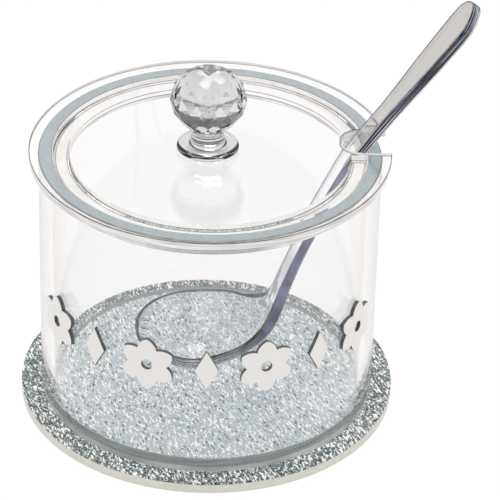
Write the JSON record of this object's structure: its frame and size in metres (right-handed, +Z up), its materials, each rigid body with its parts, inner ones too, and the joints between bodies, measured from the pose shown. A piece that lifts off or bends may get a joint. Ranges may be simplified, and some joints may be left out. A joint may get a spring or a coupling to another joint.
{
  "type": "honey pot with lid and spoon",
  "caption": "Round clear acrylic honey pot on a glitter base, with a lift-off lid, a faceted ball knob and a spoon that leans out of a slot in the lid.",
  "frame": {"origin": "centre of the underside of the base board, on the axis of the pot", "axes": "+Z up along the axis of the pot, -Y towards the ornamented front, +X towards the side that the spoon leans to"},
  "size_m": [0.1321, 0.112, 0.128],
  "materials": {
    "cream_board": "satin",
    "silver_glitter": "sparkling glitter film",
    "clear_acrylic": "clear polished",
    "mirror_acrylic": "silver mirror",
    "knob_acrylic": "clear faceted",
    "spoon_polystyrene": "clear moulded"
  },
  "bodies": {
    "pot": {"base_board": "cream_board", "glitter_sheet": "silver_glitter", "pot_wall": "clear_acrylic", "pot_floor": "clear_acrylic", "flower_1": "mirror_acrylic", "flower_2": "mirror_acrylic", "flower_3": "mirror_acrylic", "flower_4": "mirror_acrylic", "lozenge_1": "mirror_acrylic", "lozenge_2": "mirror_acrylic", "lozenge_3": "mirror_acrylic"},
    "lid": {"lid_disc": "clear_acrylic", "locating_ring": "clear_acrylic", "knob_foot": "knob_acrylic", "knob_ball": "knob_acrylic"},
    "spoon": {"spoon": "spoon_polystyrene"}
  },
  "joints": [
    {"name": "lid_lift", "type": "slide", "parent": "pot", "child": "lid", "axis": [0, 0, 1], "range_m": [0, 0.06]},
    {"name": "spoon_slide", "type": "slide", "parent": "pot", "child": "spoon", "axis": [0.4067, 0, 0.9135], "range_m": [0, 0.04]}
  ]
}
